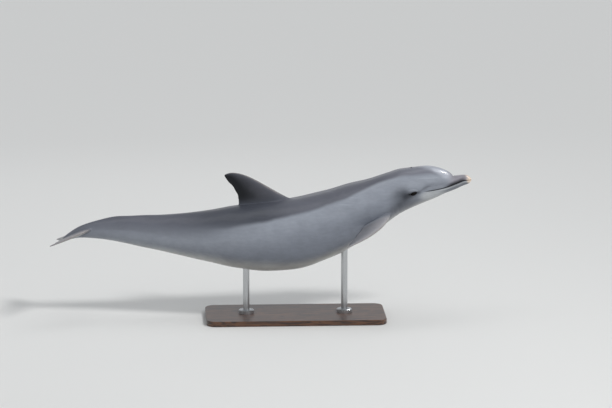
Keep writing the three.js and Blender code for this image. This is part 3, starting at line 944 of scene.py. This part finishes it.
def mark_skin(mesh, points):
    """Writes the fields of the markings and of the painted shade and sheen: distances past an edge in
    millimetres, or shares.
    """
    back, y, z = -points[:, 0], points[:, 1], points[:, 2]
    around, _ = body_place(back, y, z)
    turn = np.abs(np.degrees(around))
    side = (turn > 35) & (turn < 160)
    above, off_mouth = z - EYE_LEVEL, z - widest_level(back)
    behind_eye = back - EYE_BACK
    girth = (half_width(back) + np.abs(top_line(back) - underside(back)) / 2) / 2
    edges = (CAPE_EDGE, MELON_EDGE, BELLY_EDGE)
    cape, melon, belly = ((curve_through(edge)(back) - turn) * girth * math.pi / 180 for edge in edges)
    fin = read_values(mesh, "fin")
    body = 1 - np.clip(fin * 2 - 1, 0, 1)
    blade = fin > 0.55
    # The melon's edge softens towards the eye.
    softness = 1 + 1.6 * smooth_step(back, *FADES["melon softness"])

    bare = 1
    for at, below, length, height, strength in EYE_PATCHES:
        off = np.hypot((back - at) / length, (above + below) / height)
        bare = bare * (1 - strength * bell(off, 1))
    behind, below, length, height = EYE_CORNER
    corner = bell(np.hypot((behind_eye - behind) / length, (above + below) / height), 1) * side

    # The lower lip is pale and widens to a lobe under the corner of the mouth.
    below, width = LIP_LINE
    lip = bell(off_mouth + below, width) * (1 - smooth_step(back, *LIP_FADE))
    lip *= LIP_AT_FRONT + (1 - LIP_AT_FRONT) * smooth_step(back, *LIP_GROWTH)
    at, below, ahead, behind = LOBE
    from_lobe = np.hypot((back - at) / np.where(back < at, ahead, behind), off_mouth + below)
    jaw = np.maximum(lip, 1 - smooth_step(from_lobe, *LOBE_FADE)) * smooth_step(-off_mouth, -1, 3)
    # The painted shade in the groove between the lips is wider under the beak.
    extra = GAP_GROWTH * between(back, *STRETCHES["gap"])
    gap = bell(off_mouth - GAP_LIFT * extra, GAP_WIDTH + extra)
    gap *= 1 - smooth_step(back, *FADES["gap corner"])
    # The pale tip is partly its own worn tone and partly a painted highlight, which reaches further back over
    # the top.
    worn_and_highlit = back + np.where(off_mouth > 0, -0.1, 0.6) * np.abs(off_mouth)

    # A band runs from the eye down to the flipper.
    below, slope, width = EYE_BAND
    from_band = above + below + slope * behind_eye

    fields = {
        "cape": cape * body + 60 * (1 - body),
        "belly": -belly * body - 60 * (1 - body),
        # The pale melon is partly its own tone and partly a painted sheen over its front.
        "melon": smooth_step(melon / softness, -16, 13) * smooth_step(back, *FADES["melon"]),
        "rear": smooth_step(back, *FADES["dark rear"]) * (1 - 0.9 * smooth_step(back, *FADES["paler tail"])),
        "faded": smooth_step(back, *FADES["faded"]),
        "fore": 1 - smooth_step(back, *FADES["fore"]),
        "eye_patch": (1 - bare) * side,
        "eye_band": between(back, *STRETCHES["eye band"]) * bell(from_band, width) * side,
        # Painted shade along the furrow from the eye towards the beak.
        "furrow": between(back, *STRETCHES["furrow mark"]) * bell(off_mouth - furrow_line(back), 9),
        "cheek": between(back, *STRETCHES["cheek"]) * bell(off_mouth - 26, 22) * (turn < 100),
        # Painted shade under the head and neck.
        "throat": bell(back - 400, 110) * smooth_step(turn, 92, 118),
        "beak": (1 - smooth_step(back, *FADES["beak"])) * smooth_step(off_mouth, -2, 3),
        # Painted shade on the side of the upper jaw over the mouth.
        "upper_lip": between(back, *STRETCHES["upper lip"]) * between(off_mouth, -4, 0, 8, 26),
        # Painted shade in the groove between the jaws, and the dark wedge behind the eye.
        "mouth": np.maximum(gap, 0.9 * corner),
        "jaw": jaw,
        # Painted shade under the lower jaw.
        "chin": (1 - smooth_step(back, *FADES["chin"])) * smooth_step(-off_mouth, 6, 14),
        "tip": 1 - smooth_step(worn_and_highlit, *FADES["tip"]),
        # Flippers and flukes take the paler paddle colours, partly their own tone and partly painted light.
        "paddle": blade * np.where(back < 2000, z < -170, 0.7),
    }
    for name, values in fields.items():
        mesh.attributes.new(name, "FLOAT", "POINT").data.foreach_set("value", values.astype(np.float32))


def make_skin(sizes):
    bm = bmesh.new()
    layer, stations = shape_cage(bm)
    # The dorsal fin stands on the ridge, where either side's columns will do.
    grow_fin(bm, layer, stations, DORSAL, settle_dorsal, -1)
    for blade, settle_fin in ((FLIPPER, settle_flipper), (FLUKE, settle_fluke)):
        for side in (1, -1):
            grow_fin(bm, layer, stations, blade, settle_fin, side)
    for side in (1, -1):
        sink_eye(bm, layer, stations, side)
    sink_blowhole(bm, layer, stations)
    bmesh.ops.remove_doubles(bm, verts=bm.verts, dist=TINY)
    bmesh.ops.recalc_face_normals(bm, faces=bm.faces)
    sort_parts(bm)
    piece = smooth_surface(mesh_object(bm, "skin_cage"), "dolphin_skin")
    points, normals = read_points(piece.data)
    points = points + normals * surface_detail(piece.data, points, sizes)[:, None]
    trim_edges(piece.data, points)
    write_points(piece.data, points)
    mark_skin(piece.data, points)
    return piece


def make_eyeball(node, side, cornea):
    """An eyeball in its node's place, with a cornea that stands off it."""
    low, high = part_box(node)
    gaze = Vector((GAZE[0], side, GAZE[1])).normalized()
    bm = bmesh.new()
    bmesh.ops.create_icosphere(bm, subdivisions=5, radius=EYE_RADIUS * MM)
    off_pupil = bm.verts.layers.float.new("off_pupil")
    for vert in bm.verts:
        ahead = vert.co.dot(gaze) / MM
        aside = math.sqrt(max(EYE_RADIUS ** 2 - ahead ** 2, 0))
        tall = vert.co.z / MM + PUPIL_DROP * EYE_RADIUS
        flat = math.sqrt(max(aside ** 2 - tall ** 2, 0) / PUPIL_WIDTH + tall ** 2)
        vert[off_pupil] = flat if ahead > 0 else EYE_RADIUS
        if ahead > 0:
            vert.co += vert.co.normalized() * cornea * float(bell(aside, CORNEA_WIDTH))
    bmesh.ops.translate(bm, vec=(low + high) / 2, verts=bm.verts)
    piece = mesh_object(bm, "eyeball_" + node[4:])
    piece.data.shade_smooth()
    return piece


# ---- materials

def colour(code):
    """An sRGB hex colour as linear red, green, blue and alpha."""
    channels = [int(code[i:i + 2], 16) / 255 for i in (0, 2, 4)]
    return [c / 12.92 if c <= 0.04045 else ((c + 0.055) / 1.055) ** 2.4 for c in channels] + [1]


# A Mix of colours takes its share at _0 and its colours at _6 and _7, and gives output 2. A Mix of numbers
# takes its share at _0 and its numbers at _2 and _3, and gives output 0.

def add_node(tree, kind, output=0, **values):
    """Adds a node and gives one of its outputs, or None. A name in small letters is a setting of the node.
    Any other is an input, by name or by number, as in _0, and takes a value or another node's output."""
    node = tree.nodes.new("ShaderNode" + kind)
    for name, value in values.items():
        if name[0].islower():
            setattr(node, name, value)
            continue
        socket = node.inputs[int(name[1:]) if name[0] == "_" else name.replace("_", " ")]
        if isinstance(value, bpy.types.NodeSocket):
            tree.links.new(value, socket)
        else:
            socket.default_value = value
    return None if output is None else node.outputs[output]


def new_material(name):
    """An empty material, with the function that adds its nodes."""
    material = bpy.data.materials.new(name)
    material.use_nodes = True
    material.node_tree.nodes.clear()
    return material, partial(add_node, material.node_tree)


def scale_for(*sizes):
    """The scale of a pattern whose features are these millimetres apart, along x, y and z if they differ."""
    scales = [1 / (size * MM) for size in sizes]
    return scales if len(sizes) > 1 else scales[0]


def skin_material(colours):
    """Living skin, smooth, rubbery and wet."""
    # Broad soft lights lie on it under the thin film of water.
    material, add = new_material("wet_dolphin_skin")
    place = add("TexCoord", "Object")
    names = SHARES + [name for name, _, _ in MARKS]
    field = {name: add("Attribute", "Fac", attribute_name=name) for name in names}

    # Clouding about 100 mm across, and mottling about 14 mm across that is drawn out along the body.
    clouds = add("TexNoise", Vector=place, Scale=scale_for(100), Detail=3, Roughness=0.55)
    lengthways = add("Mapping", Vector=place, Scale=scale_for(40.83, 14.29, 14.29))
    mottle = add("TexNoise", Vector=lengthways, Scale=1, Detail=5, Roughness=0.6)
    # The pores and creases of real skin are under a millimetre: drawn at about 6 mm so that they show.
    pores = add("TexNoise", Vector=place, Scale=scale_for(6.25), Detail=3)
    # Old tooth rakes of other dolphins: pale scratches about 9 mm apart, in a few patches.
    slanted = add("Mapping", Vector=place, Rotation=(0, RAKE_SLANT, 0), Scale=scale_for(333.3, 333.3, 9.09))
    rakes = add("TexNoise", Vector=slanted, Scale=1, Detail=2)
    patches = add("TexNoise", Vector=place, Scale=scale_for(322.6), Detail=2)

    coarse, fine = EDGE_WAVER
    waver = add("Math", operation="MULTIPLY_ADD", _0=clouds, _1=coarse, _2=-(coarse + fine) / 2)
    waver = add("Math", operation="MULTIPLY_ADD", _0=mottle, _1=fine, _2=waver)
    in_cape = add("Math", operation="ADD", _0=field["cape"], _1=waver)
    in_belly = add("Math", operation="ADD", _0=field["belly"], _1=waver)
    worn_and_highlit = add("Math", operation="MULTIPLY_ADD", _0=mottle, _1=0.9, _2=field["tip"])
    aft = add("Math", operation="MULTIPLY_ADD", _0=field["span"], _1=0.35, _2=field["chord"])
    aft = add("Math", operation="MULTIPLY_ADD", _0=clouds, _1=0.4, _2=aft)
    # Each is a value, the range that it is read over, and what the range becomes.
    ramps = {
        "crisp": (in_cape, -17, 15, 0, 1),
        "broad": (in_cape, -85, 60, 0, 1),
        "flank": (in_cape, -230, -30, 0, 1),
        "belly": (in_belly, -40, 70, 0, 1),
        "tip": (worn_and_highlit, 0.65, 1.35, 0, 0.95),
        "lid": (field["lid"], 0.55, 0.85, 0, 1),
        "fin": (field["fin"], 0.45, 1, 0, 1),
        "aft": (aft, 0.4, 1.12, 0, 1),
        "edge": (field["chord"], 0.93, 1, 0, 1),
        "leading_edge_highlight": (field["chord"], 0, 0.1, 0.7, 0),
        "mottling": (mottle, 0.3, 0.7, 0.955, 1.045),
        "clouding": (clouds, 0.25, 0.75, 0.94, 1.06),
        "rakes": (rakes, 0.6, 0.68, 0, 1),
        "patches": (patches, 0.56, 0.66, 0, 1),
        "rough": (mottle, 0.25, 0.75, 0.3, 0.42),
    }
    ramp = {
        name: add("MapRange", interpolation_type="SMOOTHSTEP", Value=value, From_Min=low, From_Max=high,
                  To_Min=least, To_Max=most)
        for name, (value, low, high, least, most) in ramps.items()
    }

    # The cape's edge is clear on the neck and fades towards the tail.
    cape = add("Mix", _0=field["faded"], _2=ramp["crisp"], _3=ramp["broad"])
    saddle = add("Mix", 2, data_type="RGBA", _0=field["rear"], _6=colours.cape, _7=colours.cape_rear)
    saddle = add("Mix", 2, data_type="RGBA", _0=field["fore"], _6=saddle, _7=colours.cape_front)
    # Fins darken from the leading edge to the trailing edge, partly their own tone and partly painted shade,
    # and a painted highlight runs along the leading edge.
    front = add("Mix", 2, data_type="RGBA", _0=field["paddle"], _6=colours.fin_front, _7=colours.paddle_front)
    back = add("Mix", 2, data_type="RGBA", _0=field["paddle"], _6=colours.fin_rear, _7=colours.paddle_rear)
    blade = add("Mix", 2, data_type="RGBA", _0=ramp["aft"], _6=front, _7=back)
    blade = add("Mix", 2, data_type="RGBA", _0=ramp["edge"], _6=blade, _7=colours.fin_edge)
    blade = add("Mix", 2, data_type="RGBA", _0=ramp["leading_edge_highlight"], _6=blade, _7=colours.leading_edge_highlight)
    marks = [
        (add("Math", operation="MULTIPLY", _0=field[name], _1=strength), getattr(colours, paint))
        for name, strength, paint in MARKS
    ]
    # A faint line of painted shade parts the jaws across the pale tip too.
    parting = add("Math", operation="MULTIPLY", _0=field["mouth"], _1=0.45)
    # Coats over the low flank's colour, which is painted shade, from the first to the last: each is its share
    # and its colour.
    coats = [
        (ramp["flank"], colours.flank), (ramp["belly"], colours.belly), (cape, saddle), *marks,
        (ramp["tip"], colours.tip), (parting, colours.eyelid), (ramp["lid"], colours.eyelid),
        (ramp["fin"], blade),
    ]
    shade = colours.low_flank
    for share, over in coats:
        shade = add("Mix", 2, data_type="RGBA", _0=share, _6=shade, _7=over)
    scratched = add("Math", operation="MULTIPLY", _0=ramp["rakes"], _1=ramp["patches"])
    scratched = add("MapRange", interpolation_type="SMOOTHSTEP", Value=scratched, To_Min=1, To_Max=1.16)
    lift = add("Math", operation="MULTIPLY", _0=ramp["mottling"], _1=ramp["clouding"])
    lift = add("Math", operation="MULTIPLY", _0=lift, _1=scratched)
    shade = add("VectorMath", operation="SCALE", _0=shade, Scale=lift)

    relief = add("Mix", _0=0.6, _2=pores, _3=mottle)
    bump = add("Bump", Strength=0.07, Distance=0.004, Height=relief)
    shader = add("BsdfPrincipled", Base_Color=shade, Roughness=ramp["rough"], IOR=1.4, Coat_Weight=0.34,
                 Specular_IOR_Level=0.32, Coat_Roughness=0.14, Coat_IOR=1.33, Normal=bump)
    add("OutputMaterial", None, Surface=shader)
    return material


def eye_material(colours):
    """The eye under its cornea: a dark brown iris round a wide pupil."""
    # Wet and clear, so that it glints.
    material, add = new_material("wet_eye")
    place = add("TexCoord", "Object")
    across = add("Attribute", "Fac", attribute_name="off_pupil")
    # Fibres of the iris, about a millimetre apart.
    fibres = add("TexNoise", Vector=place, Scale=scale_for(1.111), Detail=3)
    iris = add("MapRange", Value=across, From_Min=3.6, From_Max=4.6)
    rim = add("MapRange", Value=across, From_Min=7.6, From_Max=9.0)
    brown = add("Mix", 2, data_type="RGBA", _0=fibres, _6=colours.iris_dark, _7=colours.iris_light)
    shade = add("Mix", 2, data_type="RGBA", _0=iris, _6=colours.pupil, _7=brown)
    shade = add("Mix", 2, data_type="RGBA", _0=rim, _6=shade, _7=colours.eye_rim)
    shader = add("BsdfPrincipled", Base_Color=shade, Roughness=0.3, IOR=1.38, Specular_IOR_Level=0.05,
                 Coat_Weight=0.4, Coat_Roughness=0.02, Coat_IOR=1.376)
    add("OutputMaterial", None, Surface=shader)
    return material


def wood_material(colours):
    """Walnut, planed, stained and lacquered satin."""
    # Long dark grain lies under an even soft shine.
    material, add = new_material("lacquered_walnut")
    place = add("TexCoord", "Object")
    # The figure runs along the base, about 30 mm wide and ten times as long, and rings divide it.
    figure = add("Mapping", Vector=place, Scale=scale_for(303, 30.3, 30.3))
    rings = add("TexNoise", Vector=figure, Scale=1, Detail=6, Roughness=0.6, Distortion=0.6)
    bands = add("Math", operation="PINGPONG", _0=rings, _1=0.09)
    grain = add("MapRange", interpolation_type="SMOOTHSTEP", Value=bands, From_Min=0, From_Max=0.09)
    # Pores are a third of a millimetre wide: drawn at about 3 mm so that they show.
    along = add("Mapping", Vector=place, Scale=scale_for(83.3, 3.33, 3.33))
    pores = add("TexNoise", Vector=along, Scale=1, Detail=3)
    speck = add("MapRange", Value=pores, From_Min=0.35, From_Max=0.5, To_Min=0.72, To_Max=1)
    shade = add("Mix", 2, data_type="RGBA", _0=grain, _6=colours.wood_dark, _7=colours.wood_light)
    shade = add("VectorMath", operation="SCALE", _0=shade, Scale=speck)
    bump = add("Bump", Strength=0.08, Distance=0.001, Height=pores)
    shader = add("BsdfPrincipled", Base_Color=shade, Roughness=0.42, IOR=1.5, Coat_Weight=0.5,
                 Coat_Roughness=0.22, Normal=bump)
    add("OutputMaterial", None, Surface=shader)
    return material


def steel_material(colours):
    """Stainless steel rod, drawn and brushed lengthways."""
    # It is bright, with fine streaks along it.
    material, add = new_material("brushed_stainless_steel")
    place = add("TexCoord", "Object")
    # Brush lines are a tenth of a millimetre wide: drawn at about 2 mm so that they show.
    along = add("Mapping", Vector=place, Scale=scale_for(2, 2, 166.7))
    lines = add("TexNoise", Vector=along, Scale=1, Detail=3)
    rough, tint = (
        add("MapRange", Value=lines, From_Min=0.3, From_Max=0.7, To_Min=least, To_Max=most)
        for least, most in ((0.22, 0.38), (0.9, 1.06))
    )
    shade = add("VectorMath", operation="SCALE", _0=colours.steel[:3], Scale=tint)
    bump = add("Bump", Strength=0.05, Distance=0.0005, Height=lines)
    shader = add("BsdfPrincipled", Base_Color=shade, Metallic=1, Roughness=rough, Normal=bump)
    add("OutputMaterial", None, Surface=shader)
    return material


def floor_material(colours):
    """A studio floor, rolled with matt paint."""
    # It is pale and even, and holds the shadows without a shine.
    material, add = new_material("matt_floor_paint")
    shader = add("BsdfPrincipled", Base_Color=colours.floor, Roughness=0.75)
    add("OutputMaterial", None, Surface=shader)
    return material


# ---- stage

def make_floor(scene):
    bm = bmesh.new()
    bmesh.ops.create_grid(bm, x_segments=2, y_segments=2, size=FLOOR_HALF)
    floor = mesh_object(bm, "floor")
    floor.data.materials.append(floor_material(scene.dolphin_colours))


def make_lights(scene):
    world = bpy.data.worlds.new("studio")
    world.use_nodes = True
    background = world.node_tree.nodes["Background"]
    background.inputs["Color"].default_value = colour(WORLD_COLOUR)
    background.inputs["Strength"].default_value = WORLD_STRENGTH
    scene.world = world
    scene.view_settings.view_transform = "Standard"
    sun = bpy.data.lights.new("key", "SUN")
    sun.energy = SUN_STRENGTH
    sun.angle = SUN_WIDTH
    lamp = add_object("key", sun)
    lamp.rotation_euler = Vector(SUN_FROM).to_track_quat("Z", "Y").to_euler()
    lamp.visible_glossy = False
    for name, (place, aim, size, power) in LAMPS.items():
        light = bpy.data.lights.new(name, "AREA")
        light.shape = "RECTANGLE"
        light.size, light.size_y = size
        light.energy = power
        lamp = add_object(name, light)
        lamp.location = place
        lamp.rotation_euler = (Vector(aim) - Vector(place)).to_track_quat("-Z", "Y").to_euler()
        lamp.visible_diffuse = name != "spark"


def make_camera(scene):
    a, e = CAMERA_AZIMUTH, CAMERA_ELEVATION
    right = Vector((math.cos(a), math.sin(a), 0))
    up = Vector((-math.sin(e) * math.sin(a), math.sin(e) * math.cos(a), math.cos(e)))
    away = Vector((math.sin(a) * math.cos(e), -math.cos(a) * math.cos(e), math.sin(e)))
    camera = bpy.data.cameras.new("camera")
    camera.lens = CAMERA_LENS
    camera.sensor_width = CAMERA_SENSOR
    camera.clip_end = CAMERA_FAR_CLIP
    holder = add_object("camera", camera)
    holder.location = in_frame(0, 0, 0) - right * AIM_LEFT - up * AIM_BELOW + away * CAMERA_DISTANCE
    holder.rotation_euler = (-away).to_track_quat("-Z", "Y").to_euler()
    scene.camera = holder


# ---- settings

def colour_choice(name, description, code):
    return bpy.props.FloatVectorProperty(name=name, description=description, default=colour(code), size=4,
                                         subtype="COLOR", min=0, max=1)


def size_choice(name, description, millimetres):
    return bpy.props.FloatProperty(name=name, description=description, default=millimetres * MM, min=0,
                                   unit="LENGTH")


class DolphinSizes(bpy.types.PropertyGroup):
    """Sizes of the skin's details."""
    mouth_depth: size_choice("Mouth groove", "Depth of the groove between the jaws", 4.2)
    crease_depth: size_choice("Melon crease", "Depth of the crease between the beak and the melon", 3)
    unevenness: size_choice("Unevenness", "Greatest swelling of the skin over the flesh", 1.1)
    cornea: size_choice("Cornea", "How far the cornea stands off the eyeball", 0.9)


class DolphinColours(bpy.types.PropertyGroup):
    """Colours of the skin, the eyes, the stand and the floor."""
    cape: colour_choice("Cape", "The dark saddle along the back", "5a5c65")
    cape_front: colour_choice("Front of the cape", "The saddle on the head and neck", "6f717a")
    cape_rear: colour_choice("Rear of the cape", "The saddle round the fin", "43464e")
    flank: colour_choice("Flank", "The side under the cape", "8b9099")
    # Darker than the flank: painted shade on the lower side of the body.
    low_flank: colour_choice("Low flank", "The side above the belly", "737882")
    belly: colour_choice("Belly", "The pale underside", "b2b2b0")
    # Darker than the throat's own pale tone: painted shade under the head.
    throat: colour_choice("Throat", "The underside of the head", "656870")
    # Partly the melon's own pale tone and partly a painted sheen.
    melon: colour_choice("Melon", "The front of the head over the beak", "a4a8b1")
    beak: colour_choice("Beak", "The upper jaw", "858188")
    lip: colour_choice("Lip", "The pale edge of the lower jaw and its lobe", "b0b3b6")
    # Darker than the jaw's own pale tone: painted shade under it.
    chin: colour_choice("Chin", "The lower jaw under its lip", "5c6068")
    # Partly the jaws' own worn pale tip and partly a painted highlight.
    tip: colour_choice("Tip", "The worn tips of the jaws", "e6d2bd")
    # Used for real dark markings such as the eye band, and as painted shade over the upper lip, along the
    # furrow and round the eye.
    dark: colour_choice("Dark marks", "Round the eye and along the mouth", "23262e")
    # Near-black: the lids' dark rims, and painted shade in the groove between the jaws and in the blowhole.
    eyelid: colour_choice("Eyelids", "The rims of the lids and the gap between the jaws", "0a0b0e")
    # The fins' own dark grey with painted shade, darkest towards the trailing edge.
    fin_front: colour_choice("Fin front", "The back's fin by its leading edge", "4c4d54")
    fin_rear: colour_choice("Fin rear", "The back's fin by its trailing edge", "0b0e15")
    fin_edge: colour_choice("Fin edge", "The thin trailing edges", "0d0f14")
    # A painted highlight along the leading edges of the fins.
    leading_edge_highlight: colour_choice("Leading edge highlight", "The leading edges of the fins", "8f8a88")
    # Paler than the fins: partly their own tone and partly painted light on their upper sides.
    paddle_front: colour_choice("Paddle front", "Flippers and flukes by their leading edges", "8f8e92")
    paddle_rear: colour_choice("Paddle rear", "Flippers and flukes by their trailing edges", "727378")
    pupil: colour_choice("Pupil", "The opening of the iris", "010101")
    iris_dark: colour_choice("Iris, dark", "Dark fibres of the iris", "070403")
    iris_light: colour_choice("Iris, light", "Light fibres of the iris", "120b07")
    eye_rim: colour_choice("Rim of the eye", "Outside the iris", "0c0908")
    wood_dark: colour_choice("Wood, dark", "Dark grain of the base", "2b180e")
    wood_light: colour_choice("Wood, light", "Light grain of the base", "5e3c25")
    steel: colour_choice("Steel", "The rods and collars", "c4c6c8")
    floor: colour_choice("Floor", "The studio floor", "e3e3e1")


# ---- operators

class DOLPHIN_OT_skin(bpy.types.Operator):
    """One skin over the head, trunk, tail and fins"""
    bl_idname = "dolphin.skin"
    bl_label = "Skin"

    def execute(self, context):
        piece = make_skin(context.scene.dolphin_sizes)
        piece.data.materials.append(skin_material(context.scene.dolphin_colours))
        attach(piece, "root")
        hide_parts("head", "upper_jaw", "lower_jaw", "trunk_front", "trunk_rear", "tail_stock",
                    "dorsal_fin", "flipper_left", "flipper_right", "fluke_left", "fluke_right")
        return {"FINISHED"}


class DOLPHIN_OT_eyes(bpy.types.Operator):
    """The two eyeballs, each with its cornea"""
    bl_idname = "dolphin.eyes"
    bl_label = "Eyes"

    def execute(self, context):
        material = eye_material(context.scene.dolphin_colours)
        for side, node in ((1, "eye_left"), (-1, "eye_right")):
            piece = make_eyeball(node, side, context.scene.dolphin_sizes.cornea)
            piece.data.materials.append(material)
            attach(piece, "root")
            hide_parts(node)
        return {"FINISHED"}


class DOLPHIN_OT_stand_finish(bpy.types.Operator):
    """Wood on the base and brushed steel on the rods and collars"""
    bl_idname = "dolphin.stand_finish"
    bl_label = "Stand finish"

    def execute(self, context):
        colours = context.scene.dolphin_colours
        wood, steel = wood_material(colours), steel_material(colours)
        for name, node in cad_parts.items():
            if name.startswith("stand_"):
                node.material_slots[0].material = wood if name == "stand_base" else steel
        return {"FINISHED"}


class DOLPHIN_OT_stage(bpy.types.Operator):
    """The floor, the lights and the camera"""
    bl_idname = "dolphin.stage"
    bl_label = "Stage"

    def execute(self, context):
        make_floor(context.scene)
        make_lights(context.scene)
        make_camera(context.scene)
        return {"FINISHED"}


class DOLPHIN_PT_sidebar(bpy.types.Panel):
    """Lists the operators and settings"""
    bl_idname = "DOLPHIN_PT_sidebar"
    bl_label = "Dolphin"
    bl_space_type = "VIEW_3D"
    bl_region_type = "UI"
    bl_category = "Dolphin"

    def draw(self, context):
        for operator in OPERATORS:
            self.layout.operator(operator.bl_idname)
        for group in (context.scene.dolphin_sizes, context.scene.dolphin_colours):
            for name in group.__annotations__:
                self.layout.prop(group, name)


OPERATORS = (DOLPHIN_OT_skin, DOLPHIN_OT_eyes, DOLPHIN_OT_stand_finish, DOLPHIN_OT_stage)
CLASSES = (DolphinSizes, DolphinColours, *OPERATORS, DOLPHIN_PT_sidebar)


def register():
    for cls in CLASSES:
        bpy.utils.register_class(cls)
    bpy.types.Scene.dolphin_sizes = bpy.props.PointerProperty(type=DolphinSizes)
    bpy.types.Scene.dolphin_colours = bpy.props.PointerProperty(type=DolphinColours)


def unregister():
    del bpy.types.Scene.dolphin_colours
    del bpy.types.Scene.dolphin_sizes
    for cls in reversed(CLASSES):
        bpy.utils.unregister_class(cls)


def main():
    register()
    bpy.ops.dolphin.skin()
    bpy.ops.dolphin.eyes()
    bpy.ops.dolphin.stand_finish()
    bpy.ops.dolphin.stage()


if __name__ == "__main__":
    main()
